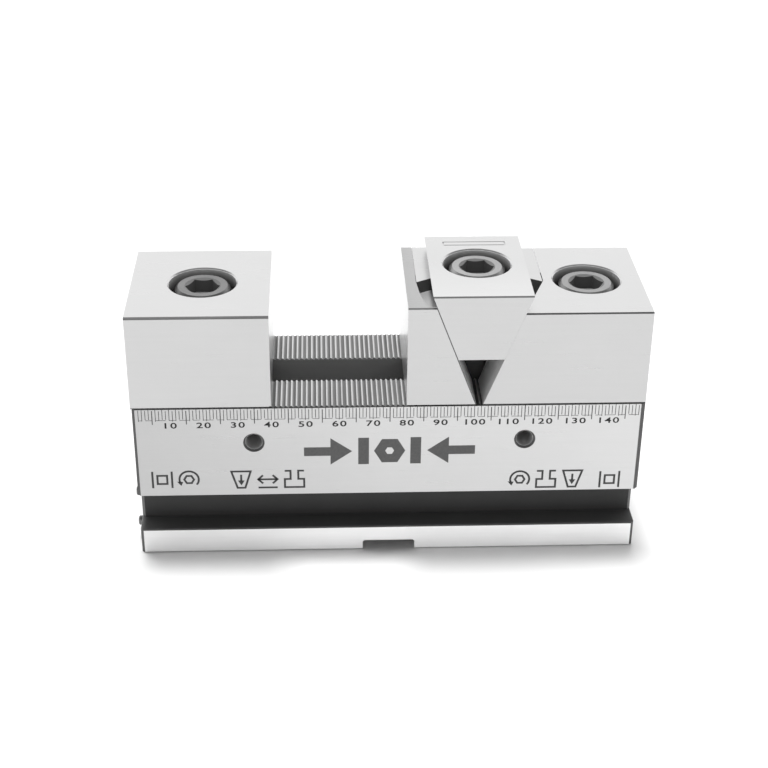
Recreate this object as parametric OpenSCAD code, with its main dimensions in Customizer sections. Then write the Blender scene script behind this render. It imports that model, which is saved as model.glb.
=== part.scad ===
// Modular wedge-clamping vise. A serrated T-slot rail carries one bolted fixed
// jaw and a clamping unit: a bolted wedge block, a wedge drawn down by its own
// screw, and a movable jaw that the wedge pushes along the rail.
// Origin: centre of the rail's underside. +X runs along the rail, +Y to its back
// and +Z up. The scale is on the front, at -Y.

/* [Rail] */
// Length of the rail, with the chamfers at its ends
rail_l = 151.8; // [145.8:3:157.8]
// Width of the rail and of the full-depth jaws
rail_w = 46.3; // [44:0.1:50]
// Height of the rail up to the tips of its serrations
rail_h = 51.2; // [50:0.1:56]
// Height of the foot below the side clamping grooves
foot_h = 8.5; // [7:0.5:9]
// Height of the side clamping grooves
groove_h = 12.3; // [10:0.1:12.6]
// Depth of the side clamping grooves
groove_d = 7.2; // [4:0.1:8]
// Width of the cross key slot in the underside
cross_key_w = 16; // [10:1:20]
// Depth of the cross key slot
cross_key_h = 3.4; // [2:0.1:5]

/* [T-slot and serrations] */
// Width of the mouth of the T-slot
slot_w = 14; // [12:0.5:14]
// Width of the wide part of the T-slot
tee_w = 23; // [22.6:0.2:25]
// Depth from the top of the rail to the shoulders of the T-slot
neck_h = 16.8; // [16:0.1:18]
// Height of the wide part of the T-slot
tee_h = 10.2; // [10:0.1:11]
// Pitch of the serrations across the top
tooth_pitch = 1.5; // [1:0.5:1.5]
// Width of the flats on the tips and in the roots
tooth_flat = 0.2; // [0.1:0.05:0.3]

/* [Jaws] */
// Length of the fixed jaw along the rail
fixed_l = 41.2; // [40:0.1:42]
// Distance that the fixed jaw hangs over the end of the rail
fixed_overhang = 0.3; // [0:0.1:1]
// Height of the top of the fixed jaw and of the wedge block
jaw_top = 80.8; // [79:0.1:82]
// Height of the top of the movable jaw
movable_top = 82.8; // [81:0.1:84]
// Place of the movable jaw's clamping face along the rail
movable_face = 4.85; // [3:0.05:6]
// Place of the back faces of the movable jaw and the wedge
unit_back = 20.1; // [19:0.1:23]

/* [Wedge] */
// Place of the wedge and its screw along the rail
wedge_x = 26.45; // [26:0.05:27]
// Angle of each wedge face from the vertical
wedge_angle = 21; // [20:0.5:22]
// Gap between the movable jaw and the wedge block at the top of the rail
vee_gap = 2.1; // [2:0.1:3]
// Height of the top of the wedge
wedge_top = 86.3; // [86:0.1:87]
// Height of the bottom of the wedge
wedge_bottom = 66; // [65.8:0.1:66.5]
// Distance that the left key stands out of the wedge
left_key_out = 4.8; // [4:0.1:5.5]
// Distance that the right key stands out of the wedge
right_key_out = 6.9; // [6:0.1:7]
// Place of the front tip of the left key, from front to back
left_key_front = -5.1; // [-6:0.1:-4]
// Place of the front tip of the right key, from front to back
right_key_front = -1.1; // [-2:0.1:0]

/* [Screws] */
// Diameter of the three clamping screws
screw_d = 10; // [9.6:0.1:10.2]
// Diameter of their low heads
head_d = 16.6; // [16:0.1:17]
// Height of their heads
head_h = 6.5; // [6:0.1:7]
// Distance across the flats of their hexagon sockets
hex_w = 9; // [8:0.5:9.5]
// Length of the screws under the head
screw_l = 45; // [44:0.5:46]
// Diameter of the counterbores
bore_d = 20.2; // [20:0.1:20.6]
// Depth of the heads below the tops of the jaws
head_sink = 1; // [0.6:0.1:1.4]

/* [Hidden] */

$fn = 96;
cut = 1;            // how far cutting shapes run past the faces they cut
face_gap = 0.02;    // gap between flat faces that slide on each other
run_gap = 0.05;     // radial gap of a screw in its nut
edge = 0.4;         // chamfer on the long edges
end_edge = 0.9;     // chamfer on the upright corners of the rail

half_w = rail_w / 2;
half_l = rail_l / 2;
groove_top = foot_h + groove_h;
shoulder_z = rail_h - neck_h;
tee_floor = shoulder_z - tee_h;

// Serrations: a root flat, a 45 degree flank, a tip flat and a flank down again
tooth_h = tooth_pitch / 2 - tooth_flat;

// Side stop holes: M6, core diameter, in the front of the rail
stop_x = 40.4;
stop_z = 39;
stop_d = 5;
stop_mouth_d = 6.4;
stop_depth = 12;

// Joining dowels in the left end, and the matching sockets in the right end
dowel_d = 3;
dowel_y = -13.5;
dowel_z = [16.6, 5.65];
dowel_in = 8;
dowel_out = 1.5;
dowel_tip = 0.3;     // chamfer on the free end of a dowel
dowel_relief = 0.6;  // length of the undercut at the rail's end face
dowel_slack = 0.04;  // diameter that the free end of a dowel is smaller by
socket_slack = 0.04; // diameter that a socket is larger by
socket_depth = 4;

fixed_x0 = -half_l - fixed_overhang;
fixed_x1 = fixed_x0 + fixed_l;
fixed_screw_x = (fixed_x0 + fixed_x1) / 2 + 0.55;
face_relief = 0.6;   // undercut below the fixed jaw's clamping face
block_x1 = half_l - 0.15;
block_screw_x = 59.55;

// Round mouth of the hexagon sockets
socket_mouth_d = 10.9;

// Guide keys under the fixed jaw and the wedge block
key_l = 7;
key_up = 3;      // height of a key inside its jaw
key_down = 6;    // depth of a key in the mouth of the T-slot
fixed_key_x = [fixed_x0 + 5, fixed_x1 - 5.5];
block_key_x = [42.35, block_x1 - 4.2];

// M4 screws that hold the keys and the guide foot
small_d = 4;
small_head_d = 7;
small_hex_w = 2.5;
small_cone_h = (small_head_d - small_d) / 2;
key_screw_l = 18;

washer_h = 1.8;
washer_d = 19.2;
hole_gap = 0.8;    // diameter that a clearance hole is larger by

// T-nuts
nut_l = 22;
wedge_nut_l = 20;
nut_w = 22;
nut_base_h = 8;
nut_neck_h = 8;
nut_edge = 1.2;

// Wedge unit
wedge_slope = tan(wedge_angle);
key_slope = 0.65;                // widening of a wedge key for each mm outwards
key_top_gap = 0.2;               // how far a key's top lies below its jaw's top
wedge_key_bottom = 66.5;
key_side_gap = 0.05;
key_end_gap = 0.1;
wedge_key_screw_y = [8.5, 16];
wedge_key_screw_s = 21.5;        // place of these screws along the wedge face
wedge_key_screw_l = 6;           // their length inside the wedge
relief_r = 7.8;                  // clearance for the collar in jaw and block
relief_top = 69;
collar_d = 13;
collar_h = 4;
collar_pin_d = 3;
right_pocket_depth = 12;
left_pocket_depth = 3.7;

// Guide foot under the movable jaw
foot_x = [5.95, 14.95];
foot_base_h = 7.6;
foot_screw_y = 3.6;
foot_screw_l = 30;

// Marking field engraved on the wedge
field_x = [17.25, 36.35];
field_y = [13, 15.7];
field_line = 0.35;
field_depth = 0.25;

function mirrored(points) = [
    for (i = [len(points) - 1 : -1 : 0]) [-points[i].x, points[i].y]
];

// Height of the serrated surface above its roots at a place along the rail
function tooth_z(x) =
    let(t = (x / tooth_pitch - floor(x / tooth_pitch)) * tooth_pitch)
    t < tooth_flat ? 0
    : t < tooth_pitch / 2 ? t - tooth_flat
    : t < tooth_pitch / 2 + tooth_flat ? tooth_h
    : tooth_pitch - t;

// Points of the serrated surface from x0 to x1, with its tips at height z
function teeth(x0, x1, z) = concat(
    [[x0, z - tooth_h + tooth_z(x0)]],
    [
        for (i = [floor(x0 / tooth_pitch) : ceil(x1 / tooth_pitch)])
        for (t = [0, tooth_flat, tooth_pitch / 2, tooth_pitch / 2 + tooth_flat])
        let(x = i * tooth_pitch + t)
        if (x > x0 + 0.01 && x < x1 - 0.01) [x, z - tooth_h + tooth_z(x)]
    ],
    [[x1, z - tooth_h + tooth_z(x1)]]
);

// Distance from the wedge's centre to the faces beside it at height z
function face_at(z) = vee_gap / 2 + (z - rail_h) * wedge_slope;

// Place along the rail where the block's slanted face meets its serrations, found
// by stepping n times towards it from x
function face_foot(x, n) = n == 0 ? x
    : face_foot(wedge_x + face_at(rail_h + face_gap - tooth_h + tooth_z(x)), n - 1);

// Front flank of a wedge key: its place at a distance u out of the wedge
function flank_y(tip_y, out, u) = tip_y + (out - u) * key_slope;

// Extrudes an outline drawn in Y and Z along X, centred
module along_x(length) {
    rotate([90, 0, 90]) linear_extrude(length, center = true) children();
}

// Extrudes an outline drawn in X and Z from y0 to y1
module along_y(y0, y1) {
    translate([0, y1, 0]) rotate([90, 0, 0]) linear_extrude(y1 - y0) children();
}

// A jaw body: an outline in X and Z, with its long top edges chamfered
module jaw_body(outline, y0, y1, top) {
    intersection() {
        along_y(y0, y1) polygon(outline);
        along_x(2 * rail_l) polygon([
            [y0, 0], [y1, 0], [y1, top - edge], [y1 - edge, top],
            [y0 + edge, top], [y0, top - edge]
        ]);
    }
}

// Cutter for a counterbore with a bevelled rim and a clearance hole below it
module screw_hole(top, depth) {
    translate([0, 0, top - depth]) cylinder(d = bore_d, h = depth + cut);
    translate([0, 0, top - edge])
        cylinder(d1 = bore_d, d2 = bore_d + 2 * edge + 2 * cut, h = edge + cut);
    cylinder(d = screw_d + hole_gap, h = top);
}

// Low-head socket screw: the head's underside is at z = 0
module clamp_screw() {
    r = screw_d / 2;
    hr = head_d / 2;
    tip = 1;
    rim = 0.9;
    sink = 0.55;
    difference() {
        rotate_extrude() polygon([
            [0, -screw_l], [r - tip, -screw_l], [r, -screw_l + tip], [r, 0],
            [hr - edge, 0], [hr, edge], [hr, head_h - rim], [hr - rim, head_h],
            [0, head_h]
        ]);
        translate([0, 0, head_h - 4.2])
            cylinder(d = hex_w / cos(30), h = 4.2 + cut, $fn = 6);
        translate([0, 0, head_h - sink]) cylinder(
            d1 = hex_w, d2 = hex_w + (socket_mouth_d - hex_w) * (sink + cut) / sink, h = sink + cut
        );
    }
}

module washer() {
    difference() {
        cylinder(d = washer_d, h = washer_h);
        translate([0, 0, -cut]) cylinder(d = screw_d + hole_gap, h = washer_h + 2 * cut);
    }
}

// T-nut in the slot, with its base against the shoulders
module t_nut(length) {
    neck = slot_w / 2 - run_gap;
    z1 = shoulder_z - face_gap;
    half = [
        [nut_w / 2 - nut_edge, z1 - nut_base_h], [nut_w / 2, z1 - nut_base_h + nut_edge],
        [nut_w / 2, z1], [neck, z1], [neck, z1 + nut_neck_h - edge],
        [neck - edge, z1 + nut_neck_h]
    ];
    difference() {
        along_x(length) polygon(concat(half, mirrored(half)));
        cylinder(d = screw_d + 2 * run_gap, h = rail_h);
    }
}

// Countersunk M4 screw along -Z, with the top of its head at z = 0
module small_screw(length) {
    difference() {
        rotate_extrude() polygon([
            [0, -length], [small_d / 2 - edge, -length], [small_d / 2, -length + edge],
            [small_d / 2, -small_cone_h - edge], [small_head_d / 2, -edge],
            [small_head_d / 2, 0], [0, 0]
        ]);
        translate([0, 0, -1.6])
            cylinder(d = small_hex_w / cos(30), h = 1.6 + cut, $fn = 6);
    }
}

// Cutter for a countersunk M4 screw
module small_screw_hole(length) {
    rotate_extrude() polygon([
        [0, -length], [small_d / 2, -length], [small_d / 2, -small_cone_h - edge],
        [small_head_d / 2, -edge], [small_head_d / 2, cut], [0, cut]
    ]);
}

// Guide key in a jaw's underside and the mouth of the T-slot
module guide_key() {
    half_key = slot_w / 2 - run_gap;
    difference() {
        translate([-key_l / 2, -half_key, rail_h - key_down])
            cube([key_l, 2 * half_key, key_up + key_down]);
        guide_screw_place() small_screw_hole(key_screw_l);
    }
}

module guide_screw_place() {
    translate([0, 0, rail_h - key_down]) rotate([180, 0, 0]) children();
}

// Cutter for a guide key's seat and its screw, in a jaw
module guide_key_seat() {
    half_key = slot_w / 2 - run_gap;
    translate([-key_l / 2, -half_key, rail_h - cut - tooth_h])
        cube([key_l, 2 * half_key, key_up + cut + tooth_h]);
    guide_screw_place() small_screw_hole(key_screw_l);
}

// Frame on the wedge block's slanted face: x out of the wedge, z up the slope
module on_right_face() {
    translate([wedge_x + vee_gap / 2, 0, rail_h]) rotate([0, wedge_angle, 0]) children();
}

// The same frame on the movable jaw's slanted face
module on_left_face() {
    translate([2 * wedge_x, 0, 0]) mirror([1, 0, 0]) on_right_face() children();
}

// Dovetail key outline, with its base on the wedge
module key_outline(tip_y, out, back) {
    polygon([
        [-face_gap, flank_y(tip_y, out, -face_gap)], [out, tip_y],
        [out, back], [-face_gap, back]
    ]);
}

// Groove for a dovetail key, open to the back
module groove_outline(tip_y, out) {
    deep = out + key_end_gap;
    polygon([
        [-cut, flank_y(tip_y, out, -cut) - key_side_gap],
        [deep, flank_y(tip_y, out, deep) - key_side_gap],
        [deep, rail_w], [-cut, rail_w]
    ]);
}

module wedge_key_screw_places(out) {
    for (y = wedge_key_screw_y)
        translate([out - 0.3, y, wedge_key_screw_s]) rotate([0, 90, 0]) children();
}

module wedge_key(tip_y, out, back, top) {
    difference() {
        intersection() {
            linear_extrude(2 * rail_h) key_outline(tip_y, out, back);
            // the key's ends are level, so this slab leans back by the wedge angle
            rotate([0, -wedge_angle, 0])
                translate([-rail_w, -rail_w, wedge_key_bottom - rail_h])
                cube([2 * rail_w, 2 * rail_w, top - key_top_gap - wedge_key_bottom]);
        }
        wedge_key_screw_places(out) small_screw_hole(out + wedge_key_screw_l);
    }
}

// Upright clearance for the wedge screw and its collar
module screw_relief() {
    translate([wedge_x, 0, rail_h - cut]) cylinder(r = relief_r, h = relief_top - rail_h + cut);
}

// Dowel along -X, with the rail's end face at x = 0
module joining_dowel() {
    r = dowel_d / 2;
    free_r = r - dowel_slack / 2;
    rotate([0, -90, 0]) rotate_extrude() polygon([
        [0, -dowel_in], [r, -dowel_in], [r, -dowel_relief], [r - 0.2, -dowel_relief],
        [r - 0.2, 0], [free_r, 0], [free_r, dowel_out - dowel_tip],
        [free_r - dowel_tip, dowel_out], [0, dowel_out]
    ]);
}

module stop_hole() {
    sink = (stop_mouth_d - stop_d) / 2;
    rotate([90, 0, 0]) rotate_extrude() polygon([
        [0, -stop_depth - stop_d / 4], [stop_d / 2, -stop_depth], [stop_d / 2, -sink],
        [stop_mouth_d / 2, 0], [stop_mouth_d / 2, cut], [0, cut]
    ]);
}

module cross_key_outline() {
    r = 0.8;
    translate([-cross_key_w / 2, -cut]) square([cross_key_w, cross_key_h - r + cut]);
    translate([r - cross_key_w / 2, -cut]) square([cross_key_w - 2 * r, cross_key_h + cut]);
    for (side = [-1, 1])
        translate([side * (cross_key_w / 2 - r), cross_key_h - r]) circle(r);
}

// Cutter for the upright corners of the web between the side grooves
module web_corner(sx, sy, web) {
    reach = end_edge + cut;
    polygon([
        [sx * (half_l - reach), sy * (web + cut)], [sx * (half_l + cut), sy * (web + cut)],
        [sx * (half_l + cut), sy * (web - reach)]
    ]);
}

module rail() {
    web = half_w - groove_d;
    half = [
        [half_w - edge, 0], [half_w, edge], [half_w, foot_h - edge],
        [half_w - edge, foot_h], [web, foot_h], [web, groove_top],
        [half_w, groove_top], [half_w, rail_h - edge], [half_w - edge, rail_h],
        [slot_w / 2, rail_h], [slot_w / 2, shoulder_z], [tee_w / 2, shoulder_z],
        [tee_w / 2, tee_floor]
    ];
    color("lightgray") difference() {
        intersection() {
            along_x(rail_l) polygon(concat(half, mirrored(half)));
            along_y(-half_w, half_w) polygon(concat(
                [[half_l, 0], [-half_l, 0]], teeth(-half_l, half_l, rail_h)
            ));
            linear_extrude(rail_h) polygon([
                [-half_l + end_edge, -half_w], [half_l - end_edge, -half_w],
                [half_l, -half_w + end_edge], [half_l, half_w - end_edge],
                [half_l - end_edge, half_w], [-half_l + end_edge, half_w],
                [-half_l, half_w - end_edge], [-half_l, -half_w + end_edge]
            ]);
        }
        along_y(-half_w - cut, half_w + cut) cross_key_outline();
        for (x = [-stop_x, stop_x]) translate([x, -half_w, stop_z]) stop_hole();
        for (z = dowel_z) {
            translate([-half_l - cut, dowel_y, z])
                rotate([0, 90, 0]) cylinder(d = dowel_d, h = dowel_in + cut);
            translate([half_l - socket_depth, dowel_y, z])
                rotate([0, 90, 0]) cylinder(d = dowel_d + socket_slack, h = socket_depth + cut);
        }
        for (sx = [-1, 1], sy = [-1, 1]) translate([0, 0, foot_h])
            linear_extrude(groove_h) web_corner(sx, sy, web);
    }
}

module joining_dowels() {
    color("silver") for (z = dowel_z) translate([-half_l, dowel_y, z]) joining_dowel();
}

module fixed_jaw() {
    color("gainsboro") difference() {
        jaw_body(concat(
            teeth(fixed_x0, fixed_x1 - face_relief, rail_h + face_gap),
            [
                [fixed_x1 - face_relief, rail_h + 0.2], [fixed_x1, rail_h + 0.2],
                [fixed_x1, jaw_top], [fixed_x0, jaw_top]
            ]
        ), -half_w, half_w, jaw_top);
        translate([fixed_screw_x, 0, 0])
            screw_hole(jaw_top, head_sink + head_h + washer_h);
        for (x = fixed_key_x) translate([x, 0, 0]) guide_key_seat();
    }
}

module fixed_jaw_keys() {
    color("dimgray") for (x = fixed_key_x) translate([x, 0, 0]) guide_key();
}

module fixed_jaw_key_screws() {
    color("gray") for (x = fixed_key_x)
        translate([x, 0, 0]) guide_screw_place() small_screw(key_screw_l);
}

module fixed_jaw_washer() {
    color("dimgray")
        translate([fixed_screw_x, 0, jaw_top - head_sink - head_h - washer_h]) washer();
}

module fixed_jaw_screw() {
    color("darkgray")
        translate([fixed_screw_x, 0, jaw_top - head_sink - head_h + face_gap]) clamp_screw();
}

module fixed_jaw_nut() {
    color("dimgray") translate([fixed_screw_x, 0, 0]) t_nut(nut_l);
}

module wedge_block() {
    x0 = face_foot(wedge_x, 30);
    color("gainsboro") difference() {
        jaw_body(concat(
            teeth(x0, block_x1, rail_h + face_gap),
            [[block_x1, jaw_top], [wedge_x + face_at(jaw_top), jaw_top]]
        ), -half_w, half_w, jaw_top);
        on_right_face() translate([0, 0, -rail_h])
            linear_extrude(3 * rail_h) groove_outline(right_key_front, right_key_out);
        right_pocket();
        screw_relief();
        translate([block_screw_x, 0, 0])
            screw_hole(jaw_top, head_sink + head_h + washer_h);
        for (x = block_key_x) translate([x, 0, 0]) guide_key_seat();
    }
}

// Relief in front of the right key, milled from the top of the block
module right_pocket() {
    corner = wedge_x + face_at(jaw_top);
    far = corner + (right_key_out + key_end_gap) / cos(wedge_angle);
    depth = right_pocket_depth;
    translate([0, 0, jaw_top - depth]) linear_extrude(depth + cut) polygon([
        [wedge_x, -21.5], [corner, -21.5], [far, right_key_front],
        [far, 5], [wedge_x, 5]
    ]);
}

module block_keys() {
    color("dimgray") for (x = block_key_x) translate([x, 0, 0]) guide_key();
}

module block_key_screws() {
    color("gray") for (x = block_key_x)
        translate([x, 0, 0]) guide_screw_place() small_screw(key_screw_l);
}

module block_washer() {
    color("dimgray")
        translate([block_screw_x, 0, jaw_top - head_sink - head_h - washer_h]) washer();
}

module block_screw() {
    color("darkgray")
        translate([block_screw_x, 0, jaw_top - head_sink - head_h + face_gap]) clamp_screw();
}

module block_nut() {
    color("dimgray") translate([block_screw_x, 0, 0]) t_nut(nut_l);
}

module wedge() {
    inset = face_gap / cos(wedge_angle);
    top_half = face_at(wedge_top) - inset;
    bottom_half = face_at(wedge_bottom) - inset;
    color("whitesmoke") difference() {
        jaw_body([
            [wedge_x - bottom_half, wedge_bottom], [wedge_x + bottom_half, wedge_bottom],
            [wedge_x + top_half, wedge_top], [wedge_x - top_half, wedge_top]
        ], -half_w, unit_back, wedge_top);
        translate([wedge_x, 0, 0]) screw_hole(wedge_top, head_sink + head_h + washer_h);
        on_left_face() wedge_key_screw_places(left_key_out)
            small_screw_hole(left_key_out + wedge_key_screw_l);
        on_right_face() wedge_key_screw_places(right_key_out)
            small_screw_hole(right_key_out + wedge_key_screw_l);
        translate([0, 0, wedge_top - field_depth]) linear_extrude(field_depth + cut)
            marking_field();
    }
}

module marking_field() {
    size = [field_x[1] - field_x[0], field_y[1] - field_y[0]];
    translate([field_x[0], field_y[0]]) difference() {
        square(size);
        translate([field_line, field_line])
            square([size.x - 2 * field_line, size.y - 2 * field_line]);
    }
}

module left_wedge_key() {
    color("whitesmoke") on_left_face()
        wedge_key(left_key_front, left_key_out, unit_back, movable_top);
}

module right_wedge_key() {
    color("whitesmoke") on_right_face()
        wedge_key(right_key_front, right_key_out, half_w, jaw_top);
}

module wedge_key_screws() {
    color("gray") {
        on_left_face() wedge_key_screw_places(left_key_out)
            small_screw(left_key_out + wedge_key_screw_l);
        on_right_face() wedge_key_screw_places(right_key_out)
            small_screw(right_key_out + wedge_key_screw_l);
    }
}

module wedge_washer() {
    color("dimgray")
        translate([wedge_x, 0, wedge_top - head_sink - head_h - washer_h]) washer();
}

module collar_pin_hole() {
    translate([wedge_x, -collar_d, wedge_bottom - 2 * run_gap - collar_h / 2])
        rotate([-90, 0, 0]) cylinder(d = collar_pin_d, h = 2 * collar_d, $fn = 48);
}

module wedge_screw() {
    color("darkgray") difference() {
        translate([wedge_x, 0, wedge_top - head_sink - head_h + face_gap]) clamp_screw();
        collar_pin_hole();
    }
}

module wedge_collar() {
    color("gray") difference() {
        translate([wedge_x, 0, wedge_bottom - 2 * run_gap - collar_h])
            cylinder(d = collar_d, h = collar_h);
        translate([wedge_x, 0, rail_h]) cylinder(d = screw_d, h = rail_h);
        collar_pin_hole();
    }
}

module collar_pin() {
    length = collar_d - 1;
    color("silver")
        translate([wedge_x, -length / 2, wedge_bottom - 2 * run_gap - collar_h / 2])
        rotate([-90, 0, 0]) cylinder(d = collar_pin_d, h = length, $fn = 48);
}

module wedge_nut() {
    color("dimgray") translate([wedge_x, 0, 0]) t_nut(wedge_nut_l);
}

module movable_jaw() {
    bottom = rail_h + face_gap;
    color("gainsboro") difference() {
        jaw_body([
            [movable_face, bottom], [wedge_x - face_at(bottom), bottom],
            [wedge_x - face_at(movable_top), movable_top], [movable_face, movable_top]
        ], -half_w, unit_back, movable_top);
        on_left_face() translate([0, 0, -rail_h])
            linear_extrude(3 * rail_h) groove_outline(left_key_front, left_key_out);
        left_pocket();
        screw_relief();
        guide_foot_neck(cut);
        foot_screw_places() small_screw_hole(foot_screw_l);
    }
}

// Relief in front of the left key, milled from the top of the movable jaw, with a
// round front corner
module left_pocket() {
    corner = wedge_x - face_at(movable_top);
    far = corner - (left_key_out + key_end_gap) / cos(wedge_angle);
    depth = left_pocket_depth;
    round_r = 2.8;
    front = -22.2;
    translate([0, 0, movable_top - depth]) linear_extrude(depth + cut) polygon(concat(
        [for (a = [270 : -15 : 180])
            [far + 1.8 + round_r * (1 + cos(a)), front + round_r * (1 + sin(a))]],
        [[far + 0.7, -13.5], [far, left_key_front], [far, 0], [wedge_x, 0], [wedge_x, front]]
    ));
}

// Neck of the guide foot, which fits the mouth of the T-slot and a seat in the jaw
module guide_foot_neck(extra) {
    half_neck = slot_w / 2 - run_gap;
    translate([foot_x[0], -half_neck, shoulder_z - extra])
        cube([foot_x[1] - foot_x[0], 2 * half_neck, neck_h + key_up + extra]);
}

module foot_screw_places() {
    for (side = [-1, 1])
        translate([
            (foot_x[0] + foot_x[1]) / 2, side * foot_screw_y,
            shoulder_z - 2 * run_gap - foot_base_h
        ]) rotate([180, 0, 0]) children();
}

module jaw_guide_foot() {
    color("dimgray") difference() {
        union() {
            translate([foot_x[0], -nut_w / 2, shoulder_z - 2 * run_gap - foot_base_h])
                cube([foot_x[1] - foot_x[0], nut_w, foot_base_h]);
            guide_foot_neck(2 * run_gap);
        }
        foot_screw_places() small_screw_hole(foot_screw_l);
    }
}

module jaw_guide_screws() {
    color("gray") foot_screw_places() small_screw(foot_screw_l);
}

rail();
joining_dowels();
fixed_jaw();
fixed_jaw_keys();
fixed_jaw_key_screws();
fixed_jaw_washer();
fixed_jaw_screw();
fixed_jaw_nut();
wedge_block();
block_keys();
block_key_screws();
block_washer();
block_screw();
block_nut();
wedge();
left_wedge_key();
right_wedge_key();
wedge_key_screws();
wedge_washer();
wedge_screw();
wedge_collar();
collar_pin();
wedge_nut();
movable_jaw();
jaw_guide_foot();
jaw_guide_screws();
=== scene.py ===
"""Looks for the modular wedge-clamping vise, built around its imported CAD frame.

The axes are the CAD's: X along the rail, Y to the back, Z up. Lengths are in metres, and
a number in millimetres is multiplied by MM. A tone is a linear brightness from 0 to 1.
"""
import math

import bpy
from mathutils import Matrix, Vector


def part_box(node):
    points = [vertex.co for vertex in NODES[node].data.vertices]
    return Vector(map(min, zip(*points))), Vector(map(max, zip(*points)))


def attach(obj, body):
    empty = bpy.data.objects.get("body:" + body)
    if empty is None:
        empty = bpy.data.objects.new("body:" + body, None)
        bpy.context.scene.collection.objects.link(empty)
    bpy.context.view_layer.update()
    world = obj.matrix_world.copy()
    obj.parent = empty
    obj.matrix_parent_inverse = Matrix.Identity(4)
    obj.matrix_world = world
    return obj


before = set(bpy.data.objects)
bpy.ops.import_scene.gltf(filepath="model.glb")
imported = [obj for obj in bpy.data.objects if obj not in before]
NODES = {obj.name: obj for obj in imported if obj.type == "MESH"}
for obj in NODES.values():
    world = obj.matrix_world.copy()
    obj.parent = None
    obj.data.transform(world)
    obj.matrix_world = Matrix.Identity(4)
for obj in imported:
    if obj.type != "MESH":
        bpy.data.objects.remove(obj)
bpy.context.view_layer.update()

MM = 0.001

# ---------------------------------------------------------------- sizes
rail_low, rail_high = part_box("rail")
fixed_low, fixed_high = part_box("fixed_jaw")
block_low, block_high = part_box("wedge_block")
wedge_low, wedge_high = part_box("wedge")
movable_low, movable_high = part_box("movable_jaw")

# Rail section
SLOT_HALF = 7.0 * MM            # half the mouth of the T-slot
TEE_HALF = 11.5 * MM            # half its wide part
TEE_FLOOR = 24.2 * MM
TEE_TOP = 34.4 * MM
WEB_HALF = 15.95 * MM           # half the web between the side grooves
FOOT_H = 8.5 * MM
GROOVE_TOP = 20.8 * MM
TOOTH_H = 0.55 * MM
END_EDGE = 0.9 * MM             # upright chamfers at the rail's ends
END_LIP = 0.4 * MM              # strip of painted shade beside the right one
STOP_X = 40.4 * MM              # holes for the work stop, left and right of the middle
STOP_Z = 39.0 * MM
STOP_R = 3.3 * MM
STOP_BORE = 2.6 * MM            # where their rims, painted darker as shade, begin
EDGE = 0.4 * MM                 # broken edges of the rail and the jaws
NEAR = 0.05 * MM                # margin of a mask around a face

# Scale on the rail's front
INLAY = 0.02 * MM               # how far paint stands proud of the steel
SCALE_HALF = 75.0 * MM
TICK_TOP = rail_high.z - 0.45 * MM
TICK_BOTTOM = rail_high.z - 4.2 * MM
TICK_HALF = 0.10 * MM           # half the width of a line
LONG_TICK_BOTTOM = rail_high.z - 5.6 * MM
LONG_TICK_HALF = 0.14 * MM
TICK_TOP_UNEVEN = 0.30 * MM     # how much the lines' ends wander
TICK_BOTTOM_UNEVEN = 0.35 * MM
BASELINE_HALF = 0.07 * MM
BASELINE_OUT = 0.005 * MM       # how far it stands in front of the lines
DIGIT_BOTTOM = 44.3 * MM
DIGIT_H = 1.9 * MM
DIGIT_OF_FONT = 0.72            # height of a digit as a share of the font's size
DIGIT_WIDEN = 1.5
DIGIT_SPACING = 1.2
DIGIT_BOLDER = 0.045 * MM

# Clamping mark in the middle of the rail's front
MARK_BOTTOM = 31.0 * MM
MARK_TOP = 40.2 * MM
MARK_LINE = 2.9 * MM            # line of the hexagon
MARK_INSET = 1.6 * MM           # from the mark's top to the middle of that line
MARK_JAW = (6.2 * MM, 9.4 * MM)
MARK_ARROW = (11.2 * MM, 25.6 * MM)
ARROW_SHAFT_HALF = 1.5 * MM
ARROW_HEAD = 6.5 * MM

# Small pictograms below it
HINT_HALF = 2.9 * MM
HINT_LINE = 0.62 * MM
HINT_STEP = 8.0 * MM

# Screws and the bores that they stand in
BORE_R = 10.1 * MM
BORE_LIT = 4.5 * MM             # painted highlight on the upper part of the bores' walls
HEAD_H = 6.5 * MM
SOCKET_R = 5.47 * MM            # round mouth of the hexagon socket

# Clamping unit
RIGHT_POCKET = 12.0 * MM        # depth of the pocket beside the right key
RIGHT_POCKET_REACH = 3.0 * MM   # how far it reaches past the wedge's top
LEFT_POCKET = 3.7 * MM          # depth of the one beside the left key
VEE_TOP = 66.0 * MM             # bottom of the wedge, over the gap between the jaws
VEE_HALF = 1.05 * MM            # half that gap at the top of the rail
WEDGE_ANGLE = math.radians(21.0)
SEAM = 0.3 * MM                 # painted shade: a dark line beside the wedge
JOINT_LIP = 1.5 * MM            # strip of painted highlight at the top of the joints beside the keys
FIXED_LIP = 0.35 * MM           # strip of painted shade below the fixed jaw's broken edge

# ---------------------------------------------------------------- tones
RAIL_TONE = 0.58
JAW_TONE = 0.56
KEY_TONE = 0.54
PIN_TONE = 0.16
OXIDE_TONE = 0.03
COLLAR_TONE = 0.14              # black oxide, painted lighter to lift the shade in the gap below the wedge
# The same turned steel in a different tone on each screw head: painted light and shade
HEAD_TONES = {"fixed_jaw_screw": 0.20, "block_screw": 0.30, "wedge_screw": 0.36}
# Painted shade in the hexagon sockets; the shanks share this dark tone
SOCKET_TONE = 0.16

# Matt areas of the rail, with tones of painted shade and light
# Teeth: painted shade on the left flanks and the roots, painted light on the right flanks
LEFT_FLANK_TONE = 0.12
RIGHT_FLANK_TONES = (0.10, 0.62)    # painted shade at a tooth's root, painted highlight at its tip
ROOT_TONE = 0.14
# Painted shade in the T-slot, the side grooves and the stop holes
SLOT_TONE = 0.31
GROOVE_TONE = 0.055
GROOVE_FLOOR_TONE = 0.11
HOLE_TONE = 0.50
HOLE_RIM_TONE = 0.11
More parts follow.
